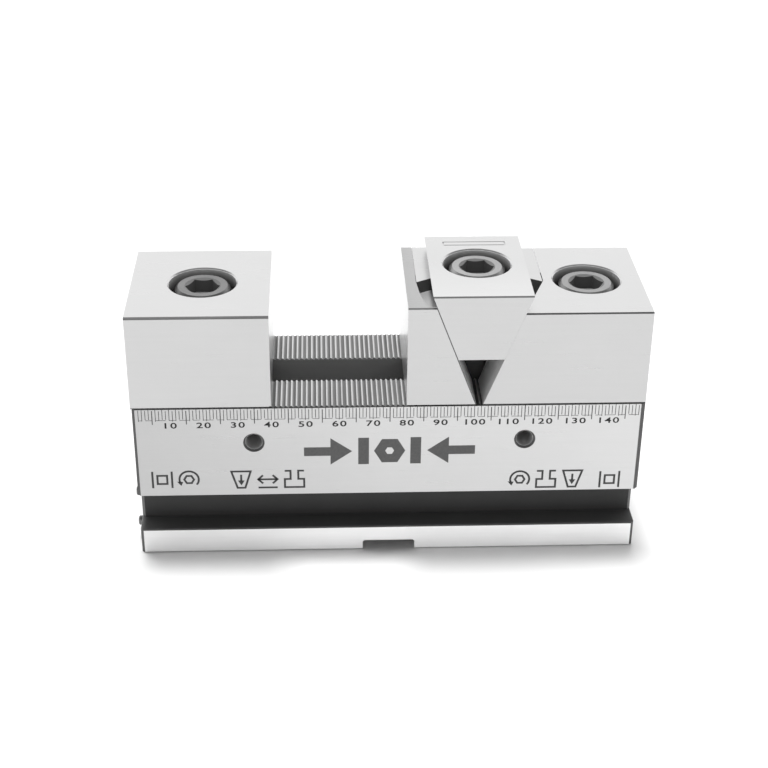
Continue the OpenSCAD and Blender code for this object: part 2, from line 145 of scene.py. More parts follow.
# Painted shade on the rail's broken edges, and on a strip beside the right end's one
END_EDGE_TONE = 0.10
END_LIP_TONE = 0.13
WEB_EDGE_TONE = 0.16
TOP_EDGE_TONE = 0.05
FOOT_EDGE_TONE = 0.12

# Matt areas of the jaws, the wedge and the keys, with tones of painted shade and light
# Bores around the screw heads: painted shade on the floors and low walls, painted highlight at the
# top
BORE_TONES = (0.12, 1.0)            # painted shade at the depth of BORE_LIT, painted highlight at the top
BORE_MATT = 0.85                    # how matt the bores' walls are
BORE_FLOOR_TONE = 0.06
# Painted light on the faces in the shaded gap below the wedge, matt
SLOPE_TONE = 0.72
# Painted shade on the ends of the jaws' serrations, over the rail
SEAT_TONE = 0.05
# Painted shade on the broken edges of the jaws and the wedge
FIXED_EDGE_TONE = 0.17
BLOCK_EDGE_TONE = 0.075
WEDGE_EDGE_TONE = 0.16              # also the movable jaw's
# Painted shade of the gap beside the wedge
SEAM_TONE = 0.14
# Painted shade in the pocket beside the right key
RIGHT_POCKET_TONE = 0.28
# Painted light on the floor of the pocket beside the left key, matt
LEFT_POCKET_TONE = 0.42
LEFT_POCKET_MATT = 0.8
# Painted shade on the keys' front flanks
KEY_FLANK_TONE = 0.10
# Painted highlights at the top of the joints beside the keys
RIGHT_JOINT_TONE = 0.9              # painted highlight, also on both keys' side of their joints
LEFT_JOINT_TONE = 0.8

# Brightness factors of the ground faces: painted light and shade
RAIL_SHADES = (0.86, 1.06)          # painted shade: factors at the left end and in the middle
RAIL_RIGHT_BRIGHTER = 0.04          # painted light, added to that at the right end
FOOT_BRIGHTER = 0.62                # painted light added on the front of the foot, against the floor's shadow that it mirrors
CLAMPING_FACE_HIGHLIGHT = 0.40              # painted highlight added on the clamping faces, as their reflection of the floor
MOVABLE_TOP_SHADES = (0.66, 0.84)   # painted shade on the movable jaw's top, at its left and right edges
WEDGE_FRONT_BRIGHTER = 0.09         # painted light added at the front edge of the wedge's top

# Paints
NUMBER_TONE = 0.035
TICK_TONE = 0.09
MARK_TONE = 0.14
HINT_TONE = 0.07

# ---------------------------------------------------------------- masks
# Limits on one part of a face's normal, which tell how the face is turned
SQUARE = 0.9                        # above it: square to the axis
LEANING = (0.4, 0.9)                # between them: a 45 degree edge or a tooth's flank
WEDGED = (0.85, 0.98)               # between them: along one of the wedge's faces
UPWARD = 0.5                        # above it: turned upwards
ASIDE = 0.3                         # below it: hardly turned to the axis
END_ON = 0.7                        # above it: an end face, across the rail

# Grinding marks, as noise scales along and across them
GRAIN_ALONG = 30
GRAIN_ACROSS = 900

# Noise scales of the teeth's tones, which differ from one tooth to the next
TOOTH_GRAIN = (900, 4, 0)

# Roughness of the surfaces, or its lowest and highest
GROUND_ROUGHNESS = 0.30
PIN_ROUGHNESS = 0.35
MATT_ROUGHNESS = 0.55
DULL_ROUGHNESS = 0.65
HEAD_ROUGHNESS = (0.28, 0.42)
OXIDE_ROUGHNESS = (0.3825, 0.54)
PAINT_ROUGHNESS = (0.55, 0.8)


# ---------------------------------------------------------------- materials
class Maker:
    """Short way to build a node material on one Principled shader."""

    def __init__(self, name):
        self.material = bpy.data.materials.new(name)
        self.material.use_nodes = True
        self.tree = self.material.node_tree
        self.tree.nodes.clear()
        output = self.node("ShaderNodeOutputMaterial")
        self.shader = self.node("ShaderNodeBsdfPrincipled")
        self.link(self.shader.outputs[0], output.inputs[0])
        self.place = self.node("ShaderNodeTexCoord").outputs["Object"]

    def node(self, kind, **settings):
        made = self.tree.nodes.new(kind)
        for key, value in settings.items():
            setattr(made, key, value)
        return made

    def link(self, source, target):
        self.tree.links.new(source, target)

    def feed(self, node, index, value):
        """Links a socket, or sets a plain value."""
        if isinstance(value, bpy.types.NodeSocket):
            self.link(value, node.inputs[index])
        else:
            node.inputs[index].default_value = value

    def set(self, socket, value):
        self.feed(self.shader, socket, value)

    def math(self, operation, a, b=0.0, c=0.0):
        made = self.node("ShaderNodeMath", operation=operation)
        for index, value in enumerate((a, b, c)):
            self.feed(made, index, value)
        return made.outputs[0]

    def noise(self, scale, stretch=(1, 1, 1), detail=2.0, roughness=0.5):
        """Noise over the part's own coordinates, stretched along the axes."""
        mapping = self.node("ShaderNodeMapping")
        self.link(self.place, mapping.inputs["Vector"])
        mapping.inputs["Scale"].default_value = stretch
        made = self.node("ShaderNodeTexNoise")
        self.link(mapping.outputs[0], made.inputs["Vector"])
        made.inputs["Scale"].default_value = scale
        made.inputs["Detail"].default_value = detail
        made.inputs["Roughness"].default_value = roughness
        return made.outputs["Fac"]

    def remap(self, value, low, high, to_low, to_high):
        made = self.node("ShaderNodeMapRange")
        for index, item in enumerate((value, low, high, to_low, to_high)):
            self.feed(made, index, item)
        return made.outputs[0]

    def vary(self, noise, low, high):
        """Spreads the middle range of a noise from one value to another."""
        return self.remap(noise, 0.3, 0.7, low, high)

    def ramp(self, value, stops):
        """Colour from two stops, each (place, tone), spread over a value."""
        made = self.node("ShaderNodeValToRGB")
        self.link(value, made.inputs[0])
        for element, (place, tone) in zip(made.color_ramp.elements, stops):
            element.position = place
            element.color = grey(tone)
        return made.outputs[0]

    def mix(self, factor, a, b):
        """Colour a where factor is 0, b where it is 1."""
        made = self.node("ShaderNodeMix", data_type="RGBA")
        self.feed(made, 0, factor)
        self.feed(made, 6, a)
        self.feed(made, 7, b)
        return made.outputs[2]

    def grey(self, value):
        """Colour from one brightness."""
        made = self.node("ShaderNodeCombineColor")
        for index in range(3):
            self.link(value, made.inputs[index])
        return made.outputs[0]

    def bump(self, height, distance, strength):
        made = self.node("ShaderNodeBump")
        made.inputs["Distance"].default_value = distance
        made.inputs["Strength"].default_value = strength
        self.link(height, made.inputs["Height"])
        self.set("Normal", made.outputs[0])

    def axes(self):
        """The three coordinates in the part's own axes."""
        split = self.node("ShaderNodeSeparateXYZ")
        self.link(self.place, split.inputs[0])
        return split.outputs

    def normal_axes(self):
        """The surface normal in the part's own axes."""
        geometry = self.node("ShaderNodeNewGeometry")
        turn = self.node("ShaderNodeVectorTransform", vector_type="NORMAL",
                         convert_from="WORLD", convert_to="OBJECT")
        self.link(geometry.outputs["True Normal"], turn.inputs[0])
        split = self.node("ShaderNodeSeparateXYZ")
        self.link(turn.outputs[0], split.inputs[0])
        return split.outputs

    def product(self, *values):
        made = values[0]
        for value in values[1:]:
            made = self.math("MULTIPLY", made, value)
        return made

    def either(self, *masks):
        made = masks[0]
        for mask in masks[1:]:
            made = self.math("MAXIMUM", made, mask)
        return made

    def below(self, value, limit):
        return self.math("LESS_THAN", value, limit)

    def above(self, value, limit):
        return self.math("GREATER_THAN", value, limit)

    def between(self, value, low, high):
        return self.product(self.above(value, low), self.below(value, high))

    def size(self, value):
        return self.math("ABSOLUTE", value)

    def radius(self, a, b, centre_a, centre_b):
        """Distance from a centre in the plane of two coordinates."""
        da = self.math("SUBTRACT", a, centre_a)
        db = self.math("SUBTRACT", b, centre_b)
        return self.math("SQRT", self.math("ADD", self.product(da, da), self.product(db, db)))


def grey(tone):
    return (tone, tone, tone, 1.0)


def ground_steel(name, tone, roughness=GROUND_ROUGHNESS, shade=None, zones=None, dull=None):
    """Ground steel with slight clouding and fine parallel grinding marks, which run along
    the rail, or across it on end faces.

    shade gives a brightness factor over the part, as painted light and shade. zones gives
    its matt areas, each a mask with a tone of painted shade and light: recesses, broken edges
    and tooth flanks. dull marks rougher areas.
    """
    make = Maker(name)
    marks_along, marks_across = (
        make.noise(1.0, stretch, detail=3.0, roughness=0.6)
        for stretch in ((GRAIN_ALONG, GRAIN_ACROSS, GRAIN_ACROSS),
                        (GRAIN_ACROSS, GRAIN_ALONG, GRAIN_ACROSS)))
    end_face = make.above(make.size(make.normal_axes()[0]), END_ON)
    marks = make.remap(end_face, 0.0, 1.0, marks_along, marks_across)
    cloud = make.noise(55.0, detail=3.0, roughness=0.55)
    bright = make.product(make.vary(marks, tone * 0.982, tone * 1.008),
                          make.vary(cloud, 0.988, 1.006))
    # Painted light and shade over the part
    if shade:
        bright = make.product(bright, shade(make))
    rough = make.vary(marks, roughness * 0.9, roughness * 1.1)
    if dull:
        rough = make.math("MAXIMUM", rough, make.product(dull(make), DULL_ROUGHNESS))

    colour = make.grey(bright)
    kept = []
    # Matt zones of painted shade and light
    for mask, matt_tone in (zones(make) if zones else []):
        mottled = make.product(make.vary(cloud, 0.92, 1.08), matt_tone)
        colour = make.mix(mask, colour, make.grey(mottled))
        kept.append(make.math("SUBTRACT", 1.0, mask))
    metal = 1.0
    if kept:
        metal = make.product(*kept)
        rough = make.math("MAXIMUM", rough, make.math("SUBTRACT", MATT_ROUGHNESS, metal))
    make.set("Base Color", colour)
    make.set("Metallic", metal)
    make.set("Roughness", rough)
    make.set("Specular IOR Level", 0.25)
    make.bump(marks, 0.0015 * MM, 0.6)
    return make.material


def black_oxide(name, tone):
    """Blackened steel with a faint mottle and lighter wear."""
    make = Maker(name)
    mottle = make.noise(420.0, detail=4.0, roughness=0.6)
    colour = make.ramp(mottle, [(0.3, tone * 0.7), (0.7, tone * 1.5)])
    # Lighter wear on the oxide, in patches
    wear_and_painted_shade = make.remap(make.noise(90.0), 0.55, 0.75, 0.0, 0.35)
    make.set("Base Color", make.mix(wear_and_painted_shade, colour, grey(tone * 2.6)))
    make.set("Metallic", 0.0)
    make.set("Roughness", make.vary(mottle, *OXIDE_ROUGHNESS))
    make.set("Specular IOR Level", 0.35)
    make.bump(mottle, 0.004 * MM, 0.5)
    return make.material


def paint(name, tone):
    """Engraving paint: matt, slightly uneven."""
    make = Maker(name)
    uneven = make.noise(1500.0, detail=3.0)
    make.set("Base Color", make.ramp(uneven, [(0.35, tone * 0.92), (0.7, tone * 1.08)]))
    make.set("Roughness", make.vary(uneven, *PAINT_ROUGHNESS))
    make.set("Specular IOR Level", 0.2)
    return make.material


def turned_steel(node):
    """Turned screw: rings about its axis, a matt socket painted dark as shade, and a dark matt
    shank.
    """
    tone, centre, top = HEAD_TONES[node], middle(node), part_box(node)[1].z
    make = Maker(node + "_steel")
    x, y, z = make.axes()
    r = make.radius(x, y, centre.x, centre.y)
    ring_noise = make.node("ShaderNodeTexNoise", noise_dimensions="1D")
    make.link(make.product(r, 1.0 / MM), ring_noise.inputs["W"])
    ring_noise.inputs["Scale"].default_value = 5.0
    ring_noise.inputs["Detail"].default_value = 3.0
    rings = ring_noise.outputs["Fac"]
    cloud = make.noise(160.0, detail=3.0)
    bright = make.product(make.vary(rings, tone * 0.88, tone * 1.10),
                          make.vary(cloud, 0.92, 1.06))
    # Painted shade in the socket
    socket = make.product(make.below(r, SOCKET_R), make.below(z, top - NEAR / 2))
    shank = make.below(z, top - HEAD_H - NEAR)
    dark = make.either(socket, shank)
    make.set("Base Color", make.mix(dark, make.grey(bright), grey(SOCKET_TONE)))
    make.set("Metallic", make.math("SUBTRACT", 1.0, dark))
    rough = make.vary(rings, *HEAD_ROUGHNESS)
    make.set("Roughness", make.math("MAXIMUM", rough, make.product(dark, 0.85)))
    make.set("Specular IOR Level", 0.2)
    make.bump(rings, 0.003 * MM, 0.5)
    return make.material


def floor_material():
    """Plain matt white."""
    make = Maker("floor_white")
    make.set("Base Color", make.ramp(make.noise(6.0, detail=1.0), [(0.2, 0.80), (0.8, 0.82)]))
    make.set("Roughness", 0.9)
    make.set("Specular IOR Level", 0.0)
    return make.material


# ---------------------------------------------------------------- the rail's areas
def tooth_zones(make):
    """The left flank of each tooth is painted dark as shade, the right one painted light towards
    its tip, and the roots painted dark as shade.
    """
    x, y, z = make.axes()
    nx, ny, nz = make.normal_axes()
    tips = rail_high.z
    roots = tips - TOOTH_H
    flank = make.product(make.between(z, roots - NEAR, tips), make.above(nz, UPWARD),
                         make.below(make.size(ny), ASIDE))
    root = make.product(make.between(z, roots - NEAR, roots + NEAR), make.above(nz, SQUARE),
                        make.below(make.size(y), rail_high.y - NEAR))
    uneven = make.vary(make.noise(1.0, TOOTH_GRAIN), 0.6, 1.45)
    # Painted light on the right flanks, brightest at the tips
    lit = make.product(make.remap(z, roots, tips, *RIGHT_FLANK_TONES), uneven)
    return [
        (make.product(flank, make.below(nx, -LEANING[0])), make.product(uneven, LEFT_FLANK_TONE)),
        (make.product(flank, make.above(nx, LEANING[0])), lit),
        (root, ROOT_TONE),
    ]


def recess_zones(make):
    """The T-slot, the side grooves, and the stop holes with their darker rims, all matt and
    painted dark as shade.
    """
    x, y, z = make.axes()
    nx, ny, nz = make.normal_axes()
    along, across = make.size(x), make.size(y)
    inside = make.below(along, rail_high.x - NEAR)
    mouth = make.product(make.below(across, SLOT_HALF + NEAR),
                         make.below(z, rail_high.z - TOOTH_H - NEAR))
    tee = make.product(make.below(across, TEE_HALF + NEAR), make.below(z, TEE_TOP + NEAR))
    slot = make.product(inside, make.above(z, TEE_FLOOR - NEAR), make.either(mouth, tee))
    groove = make.product(inside, make.below(across, rail_high.y - 2 * NEAR),
                          make.between(z, FOOT_H - NEAR, GROOVE_TOP + NEAR))
    groove_floor = make.product(groove, make.above(nz, UPWARD))
    r = make.radius(along, z, STOP_X, STOP_Z)
    hole = make.product(make.below(r, STOP_R), make.above(y, rail_low.y + NEAR / 2),
                        make.below(y, 0.0))
    rim = make.product(hole, make.above(r, STOP_BORE))
    return [(slot, SLOT_TONE), (groove, GROOVE_TONE), (groove_floor, GROOVE_FLOOR_TONE),
            (hole, HOLE_TONE), (rim, HOLE_RIM_TONE)]


def rail_edge_zones(make):
    """The rail's broken edges, and a strip beside the one at the right end, all painted dark as
    shade.
    """
    x, y, z = make.axes()
    nx, ny, nz = make.normal_axes()
    along, across = make.size(x), make.size(y)
    lean_x, lean_y = make.size(nx), make.size(ny)
    end_edge = make.product(make.between(lean_x, *LEANING), make.between(lean_y, *LEANING),
                            make.above(along, rail_high.x - END_EDGE - NEAR))
    end_lip = make.product(make.above(x, rail_high.x - END_EDGE - END_LIP),
                           make.above(lean_y, SQUARE), make.above(z, GROOVE_TOP + NEAR))
    web_edge = make.product(end_edge, make.below(across, WEB_HALF + NEAR))
    top_edge = make.product(make.above(across, rail_high.y - EDGE - NEAR),
                            make.above(z, rail_high.z - TOOTH_H - NEAR))
    foot_edge = make.product(make.between(lean_y, *LEANING), make.above(nz, LEANING[0]),
                             make.below(z, FOOT_H + NEAR))
    return [(end_edge, END_EDGE_TONE), (end_lip, END_LIP_TONE), (web_edge, WEB_EDGE_TONE),
            (top_edge, TOP_EDGE_TONE), (foot_edge, FOOT_EDGE_TONE)]


def rail_zones(make):
    return tooth_zones(make) + recess_zones(make) + rail_edge_zones(make)


def foot_front(make):
    """The front of the foot, which is rougher, and painted brighter against the floor's shadow
    that it mirrors.
    """
    x, y, z = make.axes()
    return make.product(make.below(z, FOOT_H - EDGE - NEAR / 2),
                        make.below(y, rail_low.y + NEAR / 2))


def rail_shade(make):
    """The rail is painted a little brighter to the right, as painted light, and brighter on the
    front of its foot.
    """
    x, y, z = make.axes()
    left = make.remap(x, rail_low.x, 0.0, *RAIL_SHADES)
    right = make.remap(x, 0.0, rail_high.x, 0.0, RAIL_RIGHT_BRIGHTER)
    return make.math("ADD", make.math("ADD", left, right),
                     make.product(foot_front(make), FOOT_BRIGHTER))


# ---------------------------------------------------------------- the jaws' areas
def middle(node):
    low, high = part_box(node)
    return (low + high) / 2


def bore_zones(make, screw, top):
    """Bored wall and floor around a screw head, matt, with painted shade deep down and a painted
    highlight at the top of the wall.
    """
    x, y, z = make.axes()
    centre = middle(screw)
    r = make.radius(x, y, centre.x, centre.y)
    wall = make.product(make.between(r, BORE_R - 2 * NEAR, BORE_R + NEAR),
                        make.below(z, top - NEAR))
    floor = make.product(make.below(r, BORE_R + NEAR), make.below(z, top - HEAD_H))
    # Painted shade deep in the bore, rising to a painted highlight at its top
    wall_tone = make.remap(z, top - BORE_LIT, top, *BORE_TONES)
    return [(make.product(wall, BORE_MATT), wall_tone), (floor, BORE_FLOOR_TONE)]


def edge_zone(make, low, high, tone, lip=0.0):
    """Painted shade on the broken edges along the front and back of a top, and on a strip below
    them.
    """
    x, y, z = make.axes()
    nx, ny, nz = make.normal_axes()
    lean_y = make.size(ny)
    outer = make.either(make.below(y, low.y + EDGE + NEAR), make.above(y, high.y - EDGE - NEAR))
    mask = make.product(outer, make.between(lean_y, *LEANING), make.above(nz, LEANING[0]),
                        make.above(z, high.z - EDGE - NEAR))
    if lip:
        # Strip of painted shade below the broken edge
        wear_and_painted_shade = make.product(make.above(lean_y, SQUARE), make.above(z, high.z - EDGE - lip))
        mask = make.either(mask, make.product(outer, wear_and_painted_shade))
    return (mask, tone)


def seat_zone(make):
    """The ends of a jaw's serrations, painted as dark as the rail's edge around them, as shade."""
    x, y, z = make.axes()
    nx, ny, nz = make.normal_axes()
    ends = make.product(make.below(z, rail_high.z + NEAR), make.above(make.size(ny), SQUARE))
    return (ends, SEAT_TONE)


def wedge_face(make, side):
    """Faces along the wedge's, which look to the right (1) or to the left (-1)."""
    nx, ny, nz = make.normal_axes()
    return make.between(make.product(nx, side), *WEDGED)


def slope_zone(make, side):
    """The face below the wedge, matt, with a tone that paints light into the shaded gap there."""
    x, y, z = make.axes()
    return (make.product(wedge_face(make, side), make.below(z, VEE_TOP)), SLOPE_TONE)


def joint_zone(make, side, top, tone):
    """Painted highlight on the upper lip of the joint between a wedge key and the jaw around it.
    """
    x, y, z = make.axes()
    return (make.product(wedge_face(make, side), make.above(z, top - JOINT_LIP)), tone)


def right_pocket_zone(make):
    """The pocket milled beside the right key, whose floor and walls are painted darker as shade.
    """
    x, y, z = make.axes()
    top = block_high.z
    deep = make.between(z, top - RIGHT_POCKET - NEAR, top - NEAR)
    near_key = make.below(x, wedge_high.x + RIGHT_POCKET_REACH)
    front = make.between(y, block_low.y + EDGE + NEAR, 0.0)
    return (make.product(deep, near_key, front), RIGHT_POCKET_TONE)


def left_pocket_zone(make):
    """The floor of the shallow pocket beside the left key, matt and painted lighter: painted
    light.
    """
    x, y, z = make.axes()
    nx, ny, nz = make.normal_axes()
    top = movable_high.z
    floor = make.product(make.between(z, top - LEFT_POCKET - NEAR, top - NEAR),
                         make.above(nz, SQUARE), make.below(y, 0.0))
    return (make.product(floor, LEFT_POCKET_MATT), LEFT_POCKET_TONE)


def seam_zone(make):
    """Dark line of painted shade on the movable jaw's front, beside the wedge."""
    x, y, z = make.axes()
    slope = math.tan(WEDGE_ANGLE)
    foot_x = middle("wedge_screw").x - VEE_HALF
    edge_x = make.math("MULTIPLY_ADD", z, -slope, foot_x + rail_high.z * slope)
    seam = make.product(make.above(x, make.math("SUBTRACT", edge_x, SEAM)),
                        make.below(y, movable_low.y + NEAR))
    return (seam, SEAM_TONE)


def fixed_zones(make):
    return bore_zones(make, "fixed_jaw_screw", fixed_high.z) + [
        edge_zone(make, fixed_low, fixed_high, FIXED_EDGE_TONE, FIXED_LIP), seat_zone(make)]


def block_zones(make):
    return bore_zones(make, "block_screw", block_high.z) + [
        slope_zone(make, -1), edge_zone(make, block_low, block_high, BLOCK_EDGE_TONE),
        right_pocket_zone(make), joint_zone(make, -1, block_high.z, RIGHT_JOINT_TONE),
        seat_zone(make)]


def wedge_zones(make):
    return bore_zones(make, "wedge_screw", wedge_high.z) + [
        edge_zone(make, wedge_low, wedge_high, WEDGE_EDGE_TONE)]


def movable_zones(make):
    return [slope_zone(make, 1), edge_zone(make, movable_low, movable_high, WEDGE_EDGE_TONE),
            joint_zone(make, 1, movable_high.z, LEFT_JOINT_TONE), seam_zone(make),
            left_pocket_zone(make)]


def fixed_shade(make):
    """The fixed jaw's clamping face is painted brighter: a painted reflection of the floor."""
    nx, ny, nz = make.normal_axes()
    # Painted reflection on the clamping face
    return make.math("ADD", 1.0, make.product(make.above(nx, SQUARE), CLAMPING_FACE_HIGHLIGHT))


def movable_shade(make):
    """The movable jaw's top is painted darker to the left, as shade, and its clamping face
    brighter, as a painted reflection.
    """
    x, y, z = make.axes()
    nx, ny, nz = make.normal_axes()
    shade = make.remap(x, movable_low.x, movable_high.x, *MOVABLE_TOP_SHADES)
    # Painted shade on the top
    dimming = make.product(make.above(nz, SQUARE), make.math("SUBTRACT", shade, 1.0))
    # Painted reflection on the clamping face
    clamping_face_highlight = make.product(make.below(nx, -SQUARE), CLAMPING_FACE_HIGHLIGHT)
    return make.math("ADD", make.math("ADD", 1.0, dimming), clamping_face_highlight)


def wedge_shade(make):
    """The wedge's top is painted a little brighter in front: painted light."""
    x, y, z = make.axes()
    nx, ny, nz = make.normal_axes()
    # Painted light towards the front
    brighter = make.remap(y, wedge_low.y, 0.0, WEDGE_FRONT_BRIGHTER, 0.0)
    return make.math("ADD", 1.0, make.product(make.above(nz, SQUARE), brighter))


def key_steel(node, side):
    """Steel of a wedge key: its front flank painted dark as shade, and a painted highlight on the
    lip of its outer face.
    """
    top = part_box(node)[1].z

    def zones(make):
        nx, ny, nz = make.normal_axes()
        return [(make.below(ny, -ASIDE), KEY_FLANK_TONE),
                joint_zone(make, side, top, RIGHT_JOINT_TONE)]

    return ground_steel(node + "_steel", KEY_TONE, zones=zones)


# ---------------------------------------------------------------- geometry helpers
def mesh_object(name, verts, faces, material, body):
    mesh = bpy.data.meshes.new(name)
    mesh.from_pydata(verts, [], faces)
    mesh.update()
    mesh.materials.append(material)
    made = bpy.data.objects.new(name, mesh)
    bpy.context.scene.collection.objects.link(made)
    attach(made, body)


def front_plate(outline, y):
    """Verts and faces of a thin plate from an outline in X and Z, standing INLAY proud."""
    n = len(outline)
    verts = [(x, y + depth, z) for depth in (-INLAY, INLAY) for x, z in outline]
    faces = [list(range(n)), list(range(2 * n - 1, n - 1, -1))]
    faces += [[i, i + n, (i + 1) % n + n, (i + 1) % n] for i in range(n)]
    return verts, faces


def inlay(name, outlines, y, material):
    """One piece of paint on the rail's front, from several outlines."""
    verts, faces = [], []
    for outline in outlines:
        more_verts, more_faces = front_plate(outline, y)
        faces += [[i + len(verts) for i in face] for face in more_faces]
        verts += more_verts
    mesh_object(name, verts, faces, material, "rail")


def rectangle(x0, x1, z0, z1):
    return [(x0, z0), (x1, z0), (x1, z1), (x0, z1)]


def arc(cx, cz, radius, start, end, steps=16):
    """Points on a circle from one angle to another, in degrees."""
    angles = [math.radians(start + (end - start) * i / steps) for i in range(steps + 1)]
    return [(cx + radius * math.cos(a), cz + radius * math.sin(a)) for a in angles]


def hexagon(cx, cz, radius):
    return arc(cx, cz, radius, 0, 300, 5)


def ribbon(points, width, closed=False):
    """Outlines of a line of the given width through some points, piece by piece."""
    count = len(points)
    pairs = []
    for i in range(count):
        here = Vector(points[i])
        ways = []
        if closed or i > 0:
            ways.append((here - Vector(points[i - 1])).normalized())
        if closed or i < count - 1:
            ways.append((Vector(points[(i + 1) % count]) - here).normalized())
        along = sum(ways, Vector((0, 0))).normalized()
        side = Vector((along.y, -along.x)) * (width / 2 / max(0.5, along.dot(ways[0])))
        pairs.append((tuple(here + side), tuple(here - side)))
    shapes = []
    for i in range(count if closed else count - 1):
        start, end = pairs[i], pairs[(i + 1) % count]
        shapes.append([start[0], end[0], end[1], start[1]])
    return shapes


def arrow(tip, tail, z, shaft, head, head_length):
    """Outline of a level arrow, with half heights of its shaft and head."""
    way = 1 if tip > tail else -1
    neck = tip - way * head_length
    points = [(tip, z), (neck, z + head), (neck, z + shaft), (tail, z + shaft),
              (tail, z - shaft), (neck, z - shaft), (neck, z - head)]
    return points if way < 0 else points[::-1]


# ---------------------------------------------------------------- the scale
def build_scale(number_paint, line_paint):
    """A line at every millimetre, longer ones at 5, 15, 25..., and numbers at the tens."""
    front = rail_low.y
    count = round(2 * SCALE_HALF / MM)
    ticks = []
    for i in range(1, count):
        x = -SCALE_HALF + i * MM
        half, bottom = TICK_HALF, TICK_BOTTOM + TICK_BOTTOM_UNEVEN * math.sin(5.0 * i)
        if i % 10 == 5:
            half, bottom = LONG_TICK_HALF, LONG_TICK_BOTTOM
        top = TICK_TOP - TICK_TOP_UNEVEN * (1 + math.sin(3.0 * i))
        ticks.append(rectangle(x - half, x + half, bottom, top))
    inlay("scale_ticks", ticks, front, line_paint)

    dashes = []
    for i in range(1, count - 1):
        if i % 7 not in (2, 5):
            left = -SCALE_HALF + i * MM
            dashes.append(rectangle(left, left + MM, TICK_BOTTOM - BASELINE_HALF,
                                    TICK_BOTTOM + BASELINE_HALF))
    inlay("scale_baseline", dashes, front - BASELINE_OUT, line_paint)

    for i in range(10, count, 10):
        build_number(str(i), -SCALE_HALF + i * MM, front, number_paint)


def build_number(text, x, front, material):
    curve = bpy.data.curves.new("number_" + text, "FONT")
    curve.body = text
    curve.align_x = "CENTER"
    curve.size = DIGIT_H / DIGIT_OF_FONT
    curve.space_character = DIGIT_SPACING
    curve.extrude = INLAY
    curve.offset = DIGIT_BOLDER
    curve.materials.append(material)
    made = bpy.data.objects.new("scale_number_" + text, curve)
    bpy.context.scene.collection.objects.link(made)
    made.rotation_euler = (math.pi / 2, 0, 0)
    made.scale = (DIGIT_WIDEN, 1, 1)
    made.location = (x, front, DIGIT_BOTTOM)
    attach(made, "rail")


# ---------------------------------------------------------------- pictograms
def build_mark(material):
    """Generic pictogram: a hexagonal workpiece between two jaws that are pressed together."""
    mid = (MARK_BOTTOM + MARK_TOP) / 2
    half = (MARK_TOP - MARK_BOTTOM) / 2
    shapes = ribbon(hexagon(0, mid, half - MARK_INSET), MARK_LINE, closed=True)
    for side in (-1, 1):
        jaw = sorted(side * x for x in MARK_JAW)
        tip, tail = (side * x for x in MARK_ARROW)
        shapes.append(rectangle(*jaw, MARK_BOTTOM, MARK_TOP))
        shapes.append(arrow(tip, tail, mid, ARROW_SHAFT_HALF, half, ARROW_HEAD))
    inlay("clamping_mark", shapes, rail_low.y, material)


def hint_screw(x, z, r, line):
    """A hexagon socket and a turning arrow around it."""
    shapes = ribbon(hexagon(x, z, r * 0.50), line, closed=True)
    turn = arc(x, z, r, -40, 200)
    shapes += ribbon(turn, line)
    end_x, end_z = turn[-1]
    return shapes + [[(end_x + r * 0.10, end_z - r * 0.42), (end_x + r * 0.32, end_z + r * 0.06),
                      (end_x - r * 0.32, end_z + r * 0.10)]]


def hint_slot(x, z, r, line):
    """The outline of a T-slot."""
    return ribbon([(x - r, z + r), (x - r * 0.4, z + r), (x - r * 0.4, z), (x - r, z),
                   (x - r, z - r), (x + r, z - r), (x + r, z), (x + r * 0.4, z),
                   (x + r * 0.4, z + r), (x + r, z + r)], line)


def hint_wedge(x, z, r, line):
    """A wedge, with an arrow inside it that points down."""
    shapes = ribbon([(x - r, z + r), (x - r * 0.4, z - r), (x + r * 0.4, z - r), (x + r, z + r)],
                    line, closed=True)
    shapes += ribbon([(x, z + r * 0.6), (x, z - r * 0.2)], line)
    return shapes + [[(x - r * 0.35, z - r * 0.1), (x, z - r * 0.7), (x + r * 0.35, z - r * 0.1)]]


def hint_work(x, z, r, line):
    """A workpiece between two clamping faces."""
    left_face = ribbon([(x - r, z + r), (x - r, z - r)], line)
    right_face = ribbon([(x + r, z - r), (x + r, z + r)], line)
    work = rectangle(x - r * 0.5, x + r * 0.5, z - r * 0.5, z + r * 0.5)
    return left_face + right_face + ribbon(work, line, closed=True)


def hint_travel(x, z, r, line):
    """A two-headed arrow above a line: the travel along the rail."""
    shapes = ribbon([(x - r, z - r), (x + r, z - r)], line)
    shapes += ribbon([(x - r, z), (x + r, z)], line)
    for side in (-1, 1):
        shapes += ribbon([(x + side * r * 0.5, z + r * 0.5), (x + side * r, z),
                          (x + side * r * 0.5, z - r * 0.5)], line)
    return shapes


def build_hints(material):
    """Rows of small line pictograms along the lower edge of the rail's front."""
    rows = [    # middle of the first one, its height, and the pictograms
        (-68.2 * MM, 26.4 * MM, (hint_work, hint_screw)),
        (-44.6 * MM, 26.1 * MM, (hint_wedge, hint_travel, hint_slot)),
        (39.6 * MM, 24.8 * MM, (hint_screw, hint_slot, hint_wedge)),
        (67.0 * MM, 24.4 * MM, (hint_work,)),
    ]
    shapes = []
    for start, height, hints in rows:
        for i, hint in enumerate(hints):
            shapes += hint(start + i * HINT_STEP, height, HINT_HALF, HINT_LINE)
    inlay("handling_hints", shapes, rail_low.y, material)


# ---------------------------------------------------------------- dressing
def dress(material, *nodes):
    """Gives some CAD nodes a material."""
    for node in nodes:
        slots = NODES[node].data.materials
        slots.clear()
        slots.append(material)


